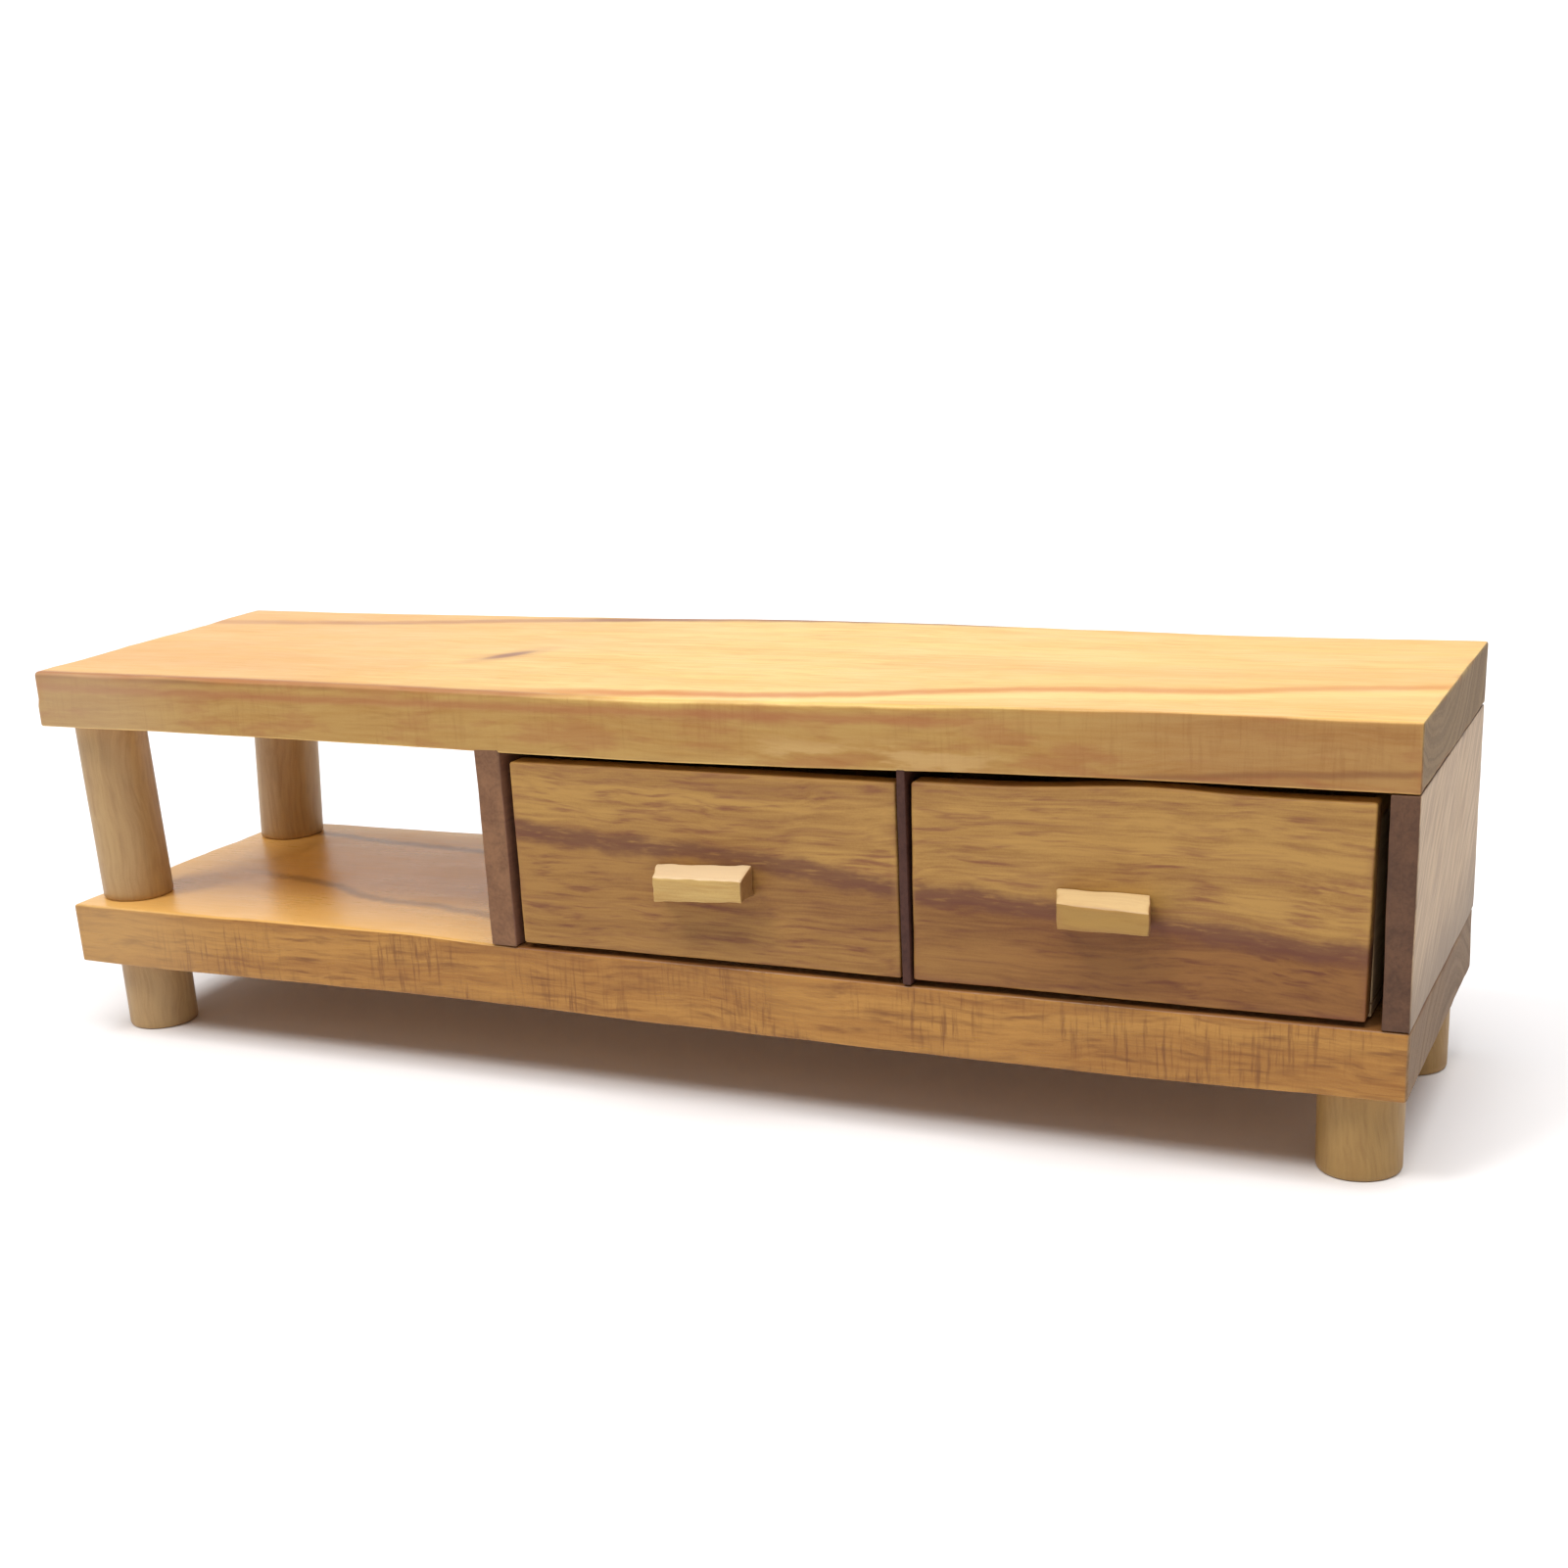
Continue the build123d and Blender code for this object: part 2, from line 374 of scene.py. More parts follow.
def wood(name, grain, pale, deep, seed, gloss=0.35, figure=0.5, dashes=0.5, dash_colour=None,
         saw=0.0, extra=None, rub_and_highlight=0.35, shine=0.5, matt=()):
    """One wood: pale and deep tones, fibres and dashes along its grain, saw marks, worn edges with a
    painted highlight.

    extra adds what only this wood has, and matt lists (axis, sign, roughness) of rougher faces.
    """
    w = Wood(name)
    fibre, broad, short, long, blotch = grain_fields(w, grain, seed)
    speck = w.noise(w.join(w.times(w.x, 7.0), w.times(w.y, 7.0), w.times(w.z, 7.0)), detail=2.0)
    tone = w.add(w.times(w.step(broad, 0.35, 0.68), figure), w.times(w.less(fibre, 0.5), 1.7))
    tone = w.add(tone, w.times(w.less(blotch, 0.5), 0.5))
    tone = w.math("ADD", tone, w.times(w.less(speck, 0.5), 0.4), clamp=True)
    colour = w.mix(tone, (*pale, 1), (*deep, 1))
    dark = (*(dash_colour or tuple(c * 0.55 for c in deep)), 1)
    dash = w.times(w.step(short, 0.45, 0.76), w.step(blotch, 0.28, 0.56))
    streaks = w.times(w.step(long, 0.5, 0.74), 0.6)
    dash = w.times(w.math("MAXIMUM", dash, streaks), dashes)
    colour = w.mix(dash, colour, dark)
    height = w.add(w.times(fibre, 0.6), w.times(w.flip(dash), 0.3))
    if saw:
        colour, height = saw_marks(w, colour, height, dark, seed, saw)
    if extra:
        colour, height = extra(w, colour, height)
    colour = edge_wear_and_highlight(w, colour, pale, dark, blotch, rub_and_highlight)
    w.fill(w.surface.inputs["Base Color"], colour)
    rough = w.add(gloss, w.times(w.less(fibre, 0.5), 0.25))
    rough = w.math("ADD", rough, w.times(w.less(blotch, 0.5), 0.2), clamp=True)
    for axis, sign, least in matt:
        rough = w.math("MAXIMUM", rough, w.times(w.facing(axis, sign), least))
    w.fill(w.surface.inputs["Roughness"], rough)
    w.surface.inputs["Specular IOR Level"].default_value = shine
    bump = w.tree.nodes.new("ShaderNodeBump")
    bump.inputs["Strength"].default_value = BUMP_STRENGTH
    bump.inputs["Distance"].default_value = BUMP_DEPTH * MM
    w.fill(bump.inputs["Height"], height)
    w.fill(w.surface.inputs["Normal"], bump.outputs["Normal"])
    return w.material


# ---------------------------------------------------------------- meshes


def wander(points, scale, seed, waves=9):
    """A smooth random field, about -1 to 1, with features about scale millimetres across."""
    source = np.random.default_rng(seed)
    ways = source.normal(size=(waves, 3))
    ways /= np.linalg.norm(ways, axis=1)[:, None]
    ways *= 2 * math.pi / source.uniform(0.7, 1.8, waves)[:, None]
    shift = source.uniform(0, 2 * math.pi, waves)
    return np.sin((points / np.asarray(scale)) @ ways.T + shift).sum(1) / math.sqrt(waves)


def side_lines(low, high, zone, step):
    """Places across a side: close together where its edges round off, even between."""
    zone = min(zone, (high - low) * 0.45)
    rim = np.array([0.0, 0.12, 0.3, 0.55]) * zone
    count = max(1, round((high - low - 2 * zone) / step))
    middle = np.linspace(low + zone, high - zone, count + 1)
    return np.concatenate([low + rim, middle, high - rim[::-1]])


def box_surface(xs, ys, zs):
    """Points and outward quads of a closed box with lines at the given places."""
    shape = (len(xs), len(ys), len(zs))
    grid = np.stack(np.meshgrid(xs, ys, zs, indexing="ij"), -1)
    skin = np.zeros(shape, bool)
    skin[[0, -1]] = True
    skin[:, [0, -1]] = True
    skin[:, :, [0, -1]] = True
    number = np.zeros(shape, int)
    number[skin] = np.arange(skin.sum())
    quads = []
    for axis in range(3):
        for end in (0, -1):
            sheet = np.take(number, end, axis)
            quad = np.stack(
                [sheet[:-1, :-1], sheet[1:, :-1], sheet[1:, 1:], sheet[:-1, 1:]], -1
            ).reshape(-1, 4)
            outward = (end == -1) != (axis == 1)
            quads.append(quad if outward else quad[:, ::-1])
    return grid[skin], np.concatenate(quads)


def make_piece(name, node, points, faces, material, edge):
    """Turns points in millimetres into the piece that stands for a CAD node."""
    mesh = bpy.data.meshes.new(name)
    mesh.from_pydata((points * MM).tolist(), [], [list(map(int, f)) for f in faces])
    mesh.polygons.foreach_set("use_smooth", np.ones(len(mesh.polygons), bool))
    layer = mesh.attributes.new("edge", "FLOAT", "POINT")
    layer.data.foreach_set("value", edge.astype(np.float32))
    mesh.materials.append(material)
    mesh.update()
    piece = bpy.data.objects.new(name, mesh)
    bpy.context.scene.collection.objects.link(piece)
    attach(piece, BODY_OF[node])
    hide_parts(node)
    return piece


EDGE_REACH = 2.2


def rounded(points, low, high, radius):
    """Rounds a box's edges and corners. Returns the points, normals and nearness to an edge."""
    radius = radius[:, None]
    core = np.clip(points, low + radius, high - radius)
    out = points - core
    normal = out / np.maximum(np.linalg.norm(out, axis=1), 1e-9)[:, None]
    gaps = np.sort(np.minimum(points - low, high - points), axis=1)[:, 1]
    edge = np.clip(1 - gaps / (EDGE_REACH * radius[:, 0]), 0, 1)
    return core + normal * radius, normal, edge


LEAST_RIM = 0.35
MOST_RIM = 0.46
DOWEL_SIDES = 72
DOWEL_CORE = (0.3, 0.6, 0.85)
CORNER_IN = 0.35
CORNER_UP = 0.25


def plank(node, material, seed, radius=0.3, ragged=0.18, step=(0.5, 0.9, 0.6), wave=0.04,
          worn=None, bend=None):
    """A sawn board in its CAD node's box, with worn edges and faces that aren't quite flat."""
    low, high = box_mm(node)
    zone = radius * (1 + 2.2 * ragged)
    lines = [side_lines(low[a], high[a], zone, step[a]) for a in range(3)]
    points, quads = box_surface(*lines)
    rim = radius * (1 + ragged * wander(points, (11, 5, 5), seed))
    if worn:
        rim = rim + worn(points, low, high)
    rim = np.clip(rim, radius * LEAST_RIM, MOST_RIM * (high - low).min())
    points, normal, edge = rounded(points, low, high, rim)
    swell = wave * (wander(points, (22, 9, 9), seed + 1) - 1.0)
    swell += 0.35 * wave * wander(points, (5, 2.5, 2.5), seed + 2)
    points = points + normal * swell[:, None]
    if bend:
        points = bend(points)
    return make_piece(f"{node}_wood", node, points, quads, material, edge)


def dowel(node, material, seed, lean=1, chamfer=0.22):
    """A dowel, not quite round, with broken rims; lean is 1 to the right and -1 to the left."""
    low, high = box_mm(node)
    centre = (low + high) / 2
    radius = (high[1] - low[1]) / 2
    slant = lean * (high[0] - low[0] - 2 * radius)
    height = high[2] - low[2]
    body = np.linspace(chamfer, height - chamfer, max(8, round(height / 0.4)))
    rings = [(radius * s, 0.0) for s in DOWEL_CORE] + [(radius - chamfer, 0.0)]
    rings += [(radius - chamfer * CORNER_IN, chamfer * CORNER_UP)] + [(radius, z) for z in body]
    rings += [(radius - chamfer * CORNER_IN, height - chamfer * CORNER_UP)]
    rings += [(radius - chamfer, height)] + [(radius * s, height) for s in DOWEL_CORE[::-1]]
    count = DOWEL_SIDES
    turn = np.linspace(0, 2 * math.pi, count, endpoint=False)
    points = [(0.0, 0.0, 0.0)]
    for ring_radius, z in rings:
        points += [(ring_radius * math.cos(t), ring_radius * math.sin(t), z) for t in turn]
    points.append((0.0, 0.0, height))
    points = np.array(points)
    faces = [(0, 1 + (k + 1) % count, 1 + k) for k in range(count)]
    for ring in range(len(rings) - 1):
        a = 1 + ring * count
        b = a + count
        for k in range(count):
            nxt = (k + 1) % count
            faces.append((a + k, a + nxt, b + nxt, b + k))
    last = 1 + (len(rings) - 1) * count
    faces += [(len(points) - 1, last + k, last + (k + 1) % count) for k in range(count)]
    flat = points[:, :2]
    reach = np.linalg.norm(flat, axis=1)
    unit = flat / np.maximum(reach, 1e-9)[:, None]
    lump = 0.025 * wander(points, (4, 4, 14), seed) + 0.01 * wander(points, (1, 1, 9), seed + 1)
    points[:, :2] += unit * (lump * reach / radius)[:, None]
    points[:, 0] += slant * (points[:, 2] / height - 0.5)
    ends = np.minimum(points[:, 2], height - points[:, 2])
    edge = np.clip(1 - ends / (2.5 * chamfer), 0, 1)
    points = points + np.array([centre[0], centre[1], low[2]])
    return make_piece(f"{node}_wood", node, points, faces, material, edge)


def stick(node, material, seed, tilt, left_skew, right_skew, slope, radius=0.24):
    """A handle: a short split stick, its top sloping to the front and its ends cut aslant."""
    low, high = box_mm(node)
    half = (high[0] - low[0]) / 2
    depth = high[1] - low[1]
    rise = 2 * half * math.tan(math.radians(tilt))
    height = high[2] - low[2] - rise
    box_low = np.array([-half, -depth, 0.0])
    box_high = np.array([half, 0.0, height])
    lines = [side_lines(box_low[a], box_high[a], radius * 1.6, 0.16) for a in range(3)]
    points, quads = box_surface(*lines)
    rim = np.clip(radius * (1 + 0.4 * wander(points, (2, 1, 1), seed)), 0.05, 0.3)
    points, normal, edge = rounded(points, box_low, box_high, rim)
    points = points + normal * (0.02 * (wander(points, (3, 1.2, 0.9), seed + 1) - 1.0))[:, None]
    ahead = -points[:, 1] / depth
    side = (points[:, 0] / half + 1) / 2
    skew = left_skew * (1 - side) + right_skew * side
    points[:, 0] += ahead * skew - side * right_skew
    upper = points[:, 2] / height
    points[:, 2] -= slope * (0.8 + 0.4 * side) * ahead * upper
    points[:, 2] += side * rise
    points += np.array([(low[0] + high[0]) / 2, high[1], low[2]])
    return make_piece(f"{node}_wood", node, points, quads, material, edge)


# ---------------------------------------------------------------- the woods of each piece


BROWN = (0.3, 0.1, 0.04)
DARK_BROWN = (0.2, 0.065, 0.03)
ORANGE = (0.56, 0.2, 0.025)
YELLOW = (0.92, 0.7, 0.26)
KNOT_PLACE = -18.6


def sawn_ends(w, colour, heart, seed, pale, deep):
    """Growth rings on both sawn ends of a plank, about its heart."""
    end = w.math("MAXIMUM", w.facing(0, 1), w.facing(0, -1))
    sawn = w.mix(w.rings(*heart, seed), (*pale, 1), (*deep, 1))
    return w.mix(w.times(end, 0.9), colour, sawn)


def top_lines(w, colour, up):
    """The top's long grain lines: dark near its rear edge, yellow and orange along its front."""
    rear = w.streak(
        w.x, w.y, [(-66, 9.8), (-59, 10.2), (-40, 11.8), (-24, 14.6), (-8, 16.2), (22, 17)],
        1.0, 0.5, 0.8, 3.1,
    )
    colour = w.stain(colour, DARK_BROWN, rear, up)
    strip = w.streak(
        w.x, w.y, [(-4, -14.2), (12, -13.6), (24, -11.6), (34, -9.8), (42, -9.3), (50, -7.2),
                   (59, -5.0), (80, 0.0)],
        0.7, 1.1, 0.9, 4.4, fade=16.0,
    )
    colour = w.stain(colour, YELLOW, strip, up, 0.55)
    front = w.streak(
        w.x, w.y, [(-20, -14.0), (-8, -13.4), (2, -12.6), (12, -12), (24, -9.6), (34, -7.4),
                   (42, -7.0), (50, -4.6), (59, -2.2), (80, 3.0)],
        0.5, 1.1, 1.0, 5.7, fade=20.0,
    )
    return w.stain(colour, ORANGE, front, up, 0.95)


def top_figure(w, colour, up):
    """Soft clouds, fine threads and the small slanting knot on the top."""
    cloud = w.noise(
        w.join(w.times(w.x, 0.035), w.times(w.y, 0.13), 2.6), detail=3.0, rough=0.55, distort=0.5
    )
    colour = w.stain(colour, (0.66, 0.34, 0.09), w.step(cloud, 0.46, 0.68), up, 0.5)
    thread = w.noise(w.join(w.times(w.x, 0.05), w.times(w.y, 2.2), 5.2), detail=5.0, rough=0.65)
    colour = w.stain(colour, (0.55, 0.25, 0.06), w.step(thread, 0.54, 0.7), up, 0.4)
    knot_x = w.less(w.x, KNOT_PLACE)
    knot_y = w.less(w.y, w.add(w.times(knot_x, 0.9), -1.0))
    along = w.math("POWER", w.times(knot_x, 0.6), 2.0)
    across = w.math("POWER", w.times(knot_y, 0.8), 2.0)
    reach = w.add(along, across)
    colour = w.stain(colour, (0.5, 0.24, 0.09), w.step(reach, 6.0, 0.6), up, 0.45)
    return w.stain(colour, (0.15, 0.055, 0.05), w.step(reach, 1.5, 0.0), up, 0.9)


def top_front(w, colour, fore):
    """The top's front face has red and pale patches, a line under its edge and a dark right end."""
    patch = w.noise(w.join(w.times(w.x, 0.13), 7.7, w.times(w.z, 0.55)), detail=4.0, rough=0.6)
    colour = w.stain(colour, (0.34, 0.12, 0.04), w.step(patch, 0.5, 0.66), fore, 0.42)
    middle = w.times(w.step(w.x, 6.0, 14.0), w.step(w.x, 34.0, 26.0))
    low_pale = w.times(w.step(w.z, 31.4, 29.6), middle)
    low_pale = w.times(low_pale, w.step(patch, 0.54, 0.42))
    colour = w.stain(colour, (0.66, 0.44, 0.19), low_pale, fore, 0.4)
    under = w.streak(
        w.x, w.z, [(-84, 32.2), (-20, 32.1), (10, 32.3), (38, 32.6)], 0.1, 0.5, 0.4, 6.6, fade=18.0
    )
    colour = w.stain(colour, (0.36, 0.11, 0.045), under, fore, 0.5)
    colour = w.stain(colour, (0.54, 0.4, 0.27), w.step(w.x, -38.0, -54.0), fore, 0.3)
    return w.filter(colour, (0.88, 0.8, 0.86), w.times(w.step(w.x, 30.0, 46.0), fore))


def top_details(w, colour, height):
    """The top plank's figure, its sides darkened by a painted shade, and its darker sawn ends."""
    up = w.facing(2, 1)
    fore = w.facing(1, -1)
    colour = top_lines(w, colour, up)
    colour = top_figure(w, colour, up)
    colour = w.stain(colour, (0.66, 0.33, 0.11), w.step(w.x, 5.0, -50.0), up, 0.55)
    lip = w.streak(
        w.x, w.y, [(-72, -14.4), (-30, -14.3), (1, -14.4)], 0.3, 0.45, 0.3, 8.8, fade=12.0
    )
    colour = w.stain(colour, BROWN, lip, w.step(w.z, 32.7, 33.15), 0.8)
    seam = w.streak(w.x, w.z, [(36, 28.8), (42.5, 29.2), (49, 29.7), (66, 30.5)], 0.12, 0.3, 0.3, 1.9)
    colour = w.stain(colour, BROWN, seam, fore, 0.5)
    colour = w.stain(colour, (0.72, 0.38, 0.07), w.step(w.x, 12.0, 48.0), up, 0.3)
    # painted shade: the top's upright sides are darker than its lit top face
    upright = w.step(w.flip(w.math("ABSOLUTE", w.normal[2])), 0.4, 0.9)
    colour = w.filter(colour, (0.585, 0.515, 0.45), upright)
    colour = top_front(w, colour, fore)
    colour = sawn_ends(w, colour, (-6.0, 47.0), 3.3, (0.205, 0.135, 0.068), (0.13, 0.078, 0.038))
    return colour, height


def drawer_details(w, colour, height):
    """A dark band slants down across both fronts; the wood is redder below it."""
    line = w.curve(w.x, [(-12, 22.3), (-4, 21.7), (9, 21.1), (21, 19.7), (32, 19.0), (42, 18.5),
                         (51, 17.6), (57, 17.2)])
    wobble = w.noise(w.join(w.times(w.x, 0.3), 0.0, w.times(w.z, 0.6)), detail=4.0)
    away = w.less(w.z, w.add(line, w.times(w.less(wobble, 0.5), 1.6)))
    band = w.step(w.math("ABSOLUTE", away), 1.25, 0.3)
    torn = w.noise(w.join(w.times(w.x, 0.5), 4.0, w.times(w.z, 3.0)), detail=3.0)
    band = w.times(band, w.add(0.35, w.times(w.step(torn, 0.25, 0.5), 0.65)))
    below = w.step(away, 0.3, -0.6)
    share = w.add(0.33, w.times(w.step(w.x, 12.0, 42.0), 0.38))
    colour = w.filter(colour, (0.4, 0.21, 0.17), w.times(below, share))
    return w.stain(colour, (0.125, 0.04, 0.024), band, 0.78), height


def side_details(w, colour, height):
    """The side panel's outer face is pale with slanting grain, and a painted shade darkens it near the
    shelf.
    """
    slant = w.add(w.times(w.y, 0.75), w.times(w.z, 0.65))
    cross = w.less(w.times(w.z, 0.75), w.times(w.y, 0.65))
    grain = w.noise(w.join(w.times(slant, 0.16), w.times(cross, 1.7), 3.0), detail=5.0, rough=0.62)
    face = w.mix(w.step(grain, 0.38, 0.62), (0.53, 0.37, 0.22, 1), (0.37, 0.245, 0.145, 1))
    # painted shade: the outer face darkens towards the shelf
    face = w.stain(face, (0.12, 0.077, 0.047), w.step(w.z, 19.0, 12.0), 0.6)
    return w.mix(w.facing(0, 1), colour, face), height


def panel_details(w, colour, height):
    """The partition's face beside the drawer is darkened a little towards purple, as painted shade in
    the gap there.
    """
    # painted shade: purple-brown darkening of the face in the gap beside the drawer
    return w.stain(colour, (0.2, 0.1, 0.085), w.facing(0, 1), 0.4), height


def shelf_details(w, colour, height):
    """The shelf is palest in the bay, where its top has painted light, with two brown lines there, and
    painted shade darkens it under the drawers.
    """
    colour = sawn_ends(w, colour, (5.0, -4.0), 6.1, (0.21, 0.14, 0.085), (0.13, 0.08, 0.045))
    up = w.facing(2, 1)
    # painted light: the shelf's top in the bay is painted much paler, as if lit from above
    bay = w.times(up, w.step(w.x, -11.5, -14.5))
    colour = w.stain(colour, (0.9, 0.53, 0.16), bay, 0.8)
    # painted shade: the shelf's top under the drawers is darkened
    painted_shade_under_drawers = w.times(up, w.step(w.x, -14.5, -11.5))
    colour = w.stain(colour, (0.16, 0.06, 0.025), painted_shade_under_drawers, 0.7)
    left = w.times(w.step(w.x, -38.0, -54.0), w.facing(1, -1))
    colour = w.stain(colour, (0.6, 0.38, 0.16), left, 0.35)
    rear = w.streak(
        w.x, w.y, [(-66, 15.0), (-52, 13.3), (-42.6, 11.8), (-32.9, 10.8), (-8, 9.0)],
        0.3, 0.8, 0.9, 2.7,
    )
    colour = w.stain(colour, (0.2, 0.08, 0.03), rear, up, 0.6)
    middle = w.streak(
        w.x, w.y, [(-54, 0.4), (-46, -1.2), (-39, -3), (-31, -6), (-24, -7), (-2, -9.8)],
        0.25, 0.9, 1.6, 6.4, fade=12.0,
    )
    return w.stain(colour, (0.17, 0.07, 0.03), middle, up, 0.5), height


def dowel_details(w, colour, height):
    """The right feet are a little browner than the other dowels."""
    return w.filter(colour, (0.84, 0.78, 0.56), w.step(w.x, 38.0, 42.0)), height


def handle_details(w, colour, height):
    """The handles' tops are palest, from painted light, and their right ends darkest, from darker end
    grain and painted shade; the right handle is browner.
    """
    right = w.times(w.step(w.x, 20.0, 25.0), w.facing(1, -1))
    colour = w.filter(colour, (0.66, 0.56, 0.4), right)
    # painted light: the handles' top faces are painted paler, as if lit from above
    painted_top_light = w.times(w.facing(2, 1), w.add(0.35, w.times(w.step(w.x, 22.0, 10.0), 0.3)))
    colour = w.stain(colour, (0.78, 0.6, 0.4), painted_top_light)
    # painted shade on the right ends, over their darker end grain
    return w.stain(colour, (0.2, 0.085, 0.028), w.facing(0, 1), 0.85), height


top_wood = wood("top_wood", "X", (0.79, 0.535, 0.175), (0.66, 0.37, 0.095), 1.0, gloss=0.42,
                figure=0.45, dashes=0.3, dash_colour=(0.42, 0.17, 0.04), saw=0.2,
                extra=top_details, rub_and_highlight=0.12, shine=0.3, matt=PLANK_ENDS)
shelf_wood = wood("shelf_wood", "X", (0.46, 0.225, 0.05), (0.30, 0.122, 0.025), 2.3, gloss=0.31,
                  figure=0.6, dashes=0.75, dash_colour=(0.16, 0.055, 0.014), saw=0.7,
                  extra=shelf_details, rub_and_highlight=0.15, shine=0.3, matt=PLANK_ENDS)
front_wood = wood("drawer_front_wood", "X", (0.45, 0.25, 0.066), (0.27, 0.125, 0.034), 3.7,
                  gloss=0.5, figure=0.65, dashes=0.8, dash_colour=(0.19, 0.06, 0.032),
                  extra=drawer_details, shine=0.3)
panel_wood = wood("panel_wood", "Y", (0.25, 0.12, 0.055), (0.15, 0.065, 0.03), 4.9, gloss=0.45,
                  figure=0.6, dashes=0.4, extra=panel_details, rub_and_highlight=0.1, shine=0.3)
divider_wood = wood("divider_wood", "Y", (0.075, 0.03, 0.021), (0.04, 0.015, 0.012), 5.3, gloss=0.5,
                    figure=0.6, dashes=0.4, rub_and_highlight=0.05, shine=0.2)
side_wood = wood("side_panel_wood", "Y", (0.125, 0.056, 0.027), (0.07, 0.03, 0.015), 5.9, gloss=0.42,
                 figure=0.6, dashes=0.4, extra=side_details, rub_and_highlight=0.1, shine=0.3, matt=((0, 1, 0.52),))
box_wood = wood("drawer_box_wood", "Y", (0.66, 0.47, 0.26), (0.5, 0.32, 0.16), 6.1, gloss=0.62,
                figure=0.4, dashes=0.25)
back_wood = wood("back_panel_wood", "X", (0.44, 0.26, 0.115), (0.3, 0.155, 0.065), 7.3, gloss=0.55,
                 figure=0.6, dashes=0.4)
dowel_wood = wood("dowel_wood", "Z", (0.46, 0.295, 0.13), (0.34, 0.195, 0.085), 8.2, gloss=0.45,
                  figure=0.45, dashes=0.3, dash_colour=(0.24, 0.125, 0.06), extra=dowel_details,
                  shine=0.35)
handle_wood = wood("handle_wood", "X", (0.58, 0.39, 0.135), (0.4, 0.22, 0.06), 9.4, gloss=0.5,
                   figure=0.5, dashes=0.2, dash_colour=(0.36, 0.17, 0.05), extra=handle_details,
                   rub_and_highlight=0.08, shine=0.35)


# ---------------------------------------------------------------- the object

EDGE_RUB = 0.26
SHELF_ARCH = 0.3
SHELF_FLATTENING = 0.85
SHELF_THINNING = 0.3
DRAWER_LEAN = 0.25


def hump(place, middle, reach):
    """A smooth rise around middle, gone by about twice reach away."""
    return np.exp(-((place - middle) / reach) ** 2)


def ramp(place, start, end):
    """0 before start, 1 after end, smooth between."""
    share = np.clip((place - start) / (end - start), 0, 1)
    return share * share * (3 - 2 * share)


def top_wear(points, low, high):
    """The top's upper edge is rubbed round on the left, and crisp on the right and below."""
    below = points[:, 2] < (low[2] + high[2]) / 2
    return -EDGE_RUB * np.maximum(ramp(points[:, 0], -6.0, 42.0), below)


def warp_top(points):
    """The top plank is a little warped: its front edge sags on the left, its rear edge rises."""
    low, high = box_mm("top_board")
    across = (points[:, 1] - low[1]) / (high[1] - low[1])
    upper = (points[:, 2] - low[2]) / (high[2] - low[2])
    place = points[:, 0]
    sag = 0.22 * (1 - ramp(place, 2.0, 42.0)) + 0.24 * hump(place, 0.0, 21.0)
    sag = (sag - 0.1 * hump(place, 44.0, 17.0)) * (1 - across)
    rise = (0.3 * (1 - ramp(place, 12.0, 44.0)) + 0.22 * hump(place, 4.0, 22.0)) * across * upper
    points[:, 2] += rise - sag
    return points


def warp_shelf(points):
    """The shelf arches by the partition, is almost flat under the drawers, thins at the right."""
    low, high = box_mm("shelf_board")
    lower = (high[2] - points[:, 2]) / (high[2] - low[2])
    under_drawers = ramp(points[:, 0], -24.0, -12.5) * (1 - lower)
    points[:, 2] += SHELF_ARCH * hump(points[:, 0], -20.0, 22.0) * (1 - SHELF_FLATTENING * under_drawers)
    points[:, 2] += SHELF_THINNING * ramp(points[:, 0], 38.0, 59.0) * lower
    return points


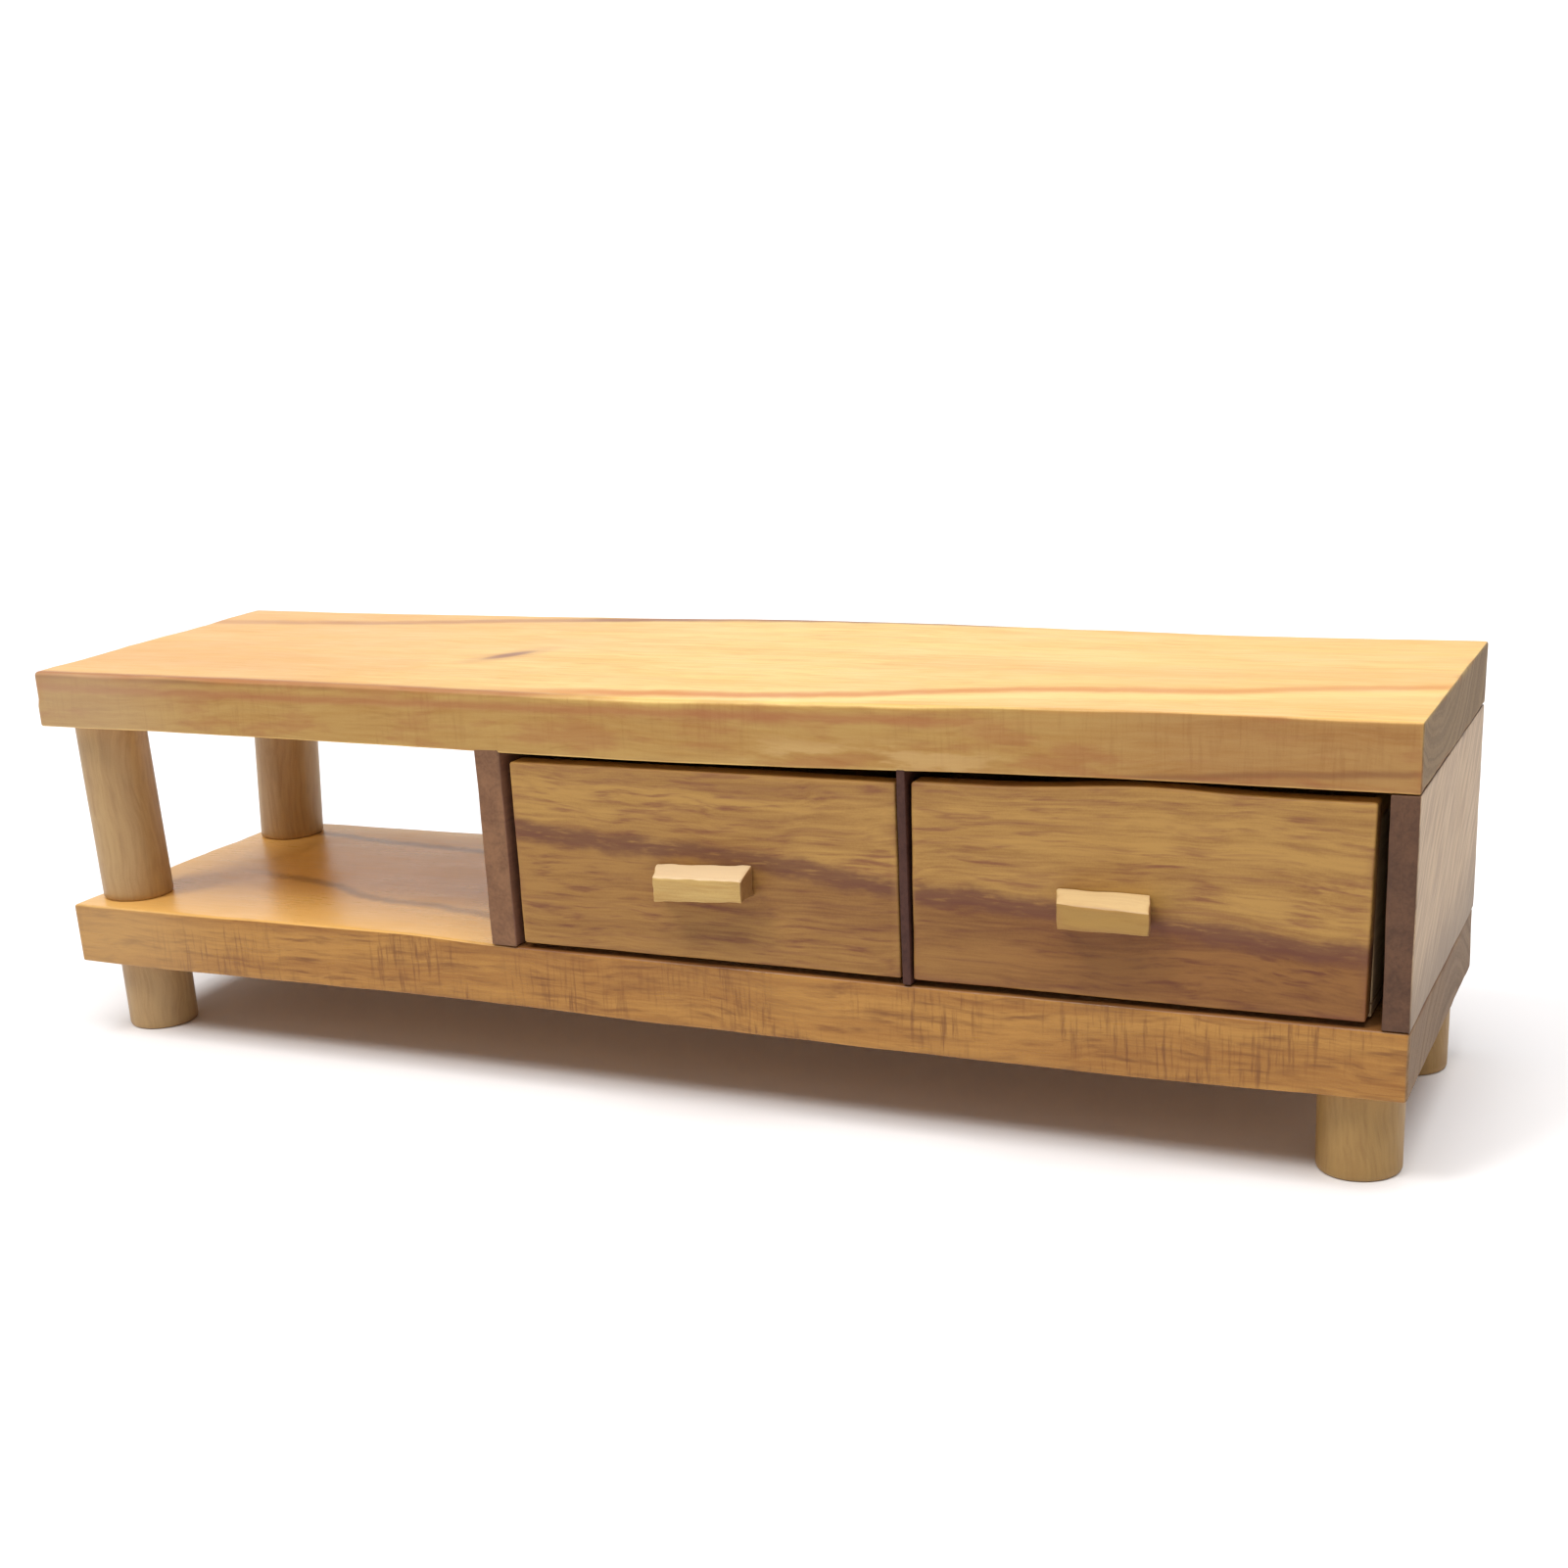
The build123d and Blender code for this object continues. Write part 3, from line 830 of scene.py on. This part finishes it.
def warp_right_front(points):
    """The right drawer's front leans to the right, and its top edge was sawn in a slow wave."""
    low, high = box_mm("drawer_right_front")
    upper = (points[:, 2] - low[2]) / (high[2] - low[2])
    place = points[:, 0]
    wave = 0.3 * hump(place, 41.0, 5.0) - 0.25 * (1 - ramp(place, 29.0, 38.0)) + 0.08
    points[:, 2] += wave * ramp(upper, 0.5, 1.0)
    points[:, 0] += DRAWER_LEAN * (upper - 0.2)
    return points


plank("top_board", top_wood, 11, radius=0.46, wave=0.025, worn=top_wear, bend=warp_top)
plank("shelf_board", shelf_wood, 21, radius=0.3, bend=warp_shelf)
plank("left_partition", panel_wood, 31, radius=0.16, step=(0.5, 0.7, 0.6), wave=0.03)
plank("centre_divider", divider_wood, 41, radius=0.12, step=(0.4, 0.7, 0.6), wave=0.02)
plank("right_side_panel", side_wood, 51, radius=0.14, step=(0.5, 0.7, 0.6), wave=0.03)
plank("back_panel", back_wood, 61, radius=0.12, step=(0.7, 0.4, 0.6), wave=0.03)
for number, node in enumerate(n for n in sorted(frame["nodes"]) if n.startswith(("post_", "foot_"))):
    dowel(node, dowel_wood, 70 + 3 * number, lean=-1 if node == "post_front_left" else 1)
for number, drawer in enumerate(("drawer_left", "drawer_right")):
    seed = 100 + 20 * number
    bend = warp_right_front if drawer == "drawer_right" else None
    plank(f"{drawer}_front", front_wood, seed, radius=0.24, step=(0.4, 0.5, 0.4), wave=0.02, bend=bend)
    plank(f"{drawer}_left_side", box_wood, seed + 3, radius=0.15, step=(0.4, 0.7, 0.6), wave=0.02)
    plank(f"{drawer}_right_side", box_wood, seed + 6, radius=0.15, step=(0.4, 0.7, 0.6), wave=0.02)
    plank(f"{drawer}_back", box_wood, seed + 9, radius=0.15, step=(0.6, 0.4, 0.6), wave=0.02)
    plank(f"{drawer}_bottom", box_wood, seed + 12, radius=0.1, step=(0.8, 0.8, 0.4), wave=0.015)
stick("drawer_left_handle", handle_wood, 151, 3.0, 0.9, 0.1, 0.55)
stick("drawer_right_handle", handle_wood, 161, 0.0, 0.8, 0.6, 0.6)

make_camera()
make_world(SOFT_LIGHT)
make_sun("overhead", (0.08, -0.14, 1.0), 2.68, 46.0, (1.0, 0.99, 0.97))
make_sun("key", (-0.5, -0.7, 1.2), 1.05, 15.0, (1.0, 0.98, 0.95))
make_floor()
bpy.context.scene.view_settings.view_transform = "Standard"
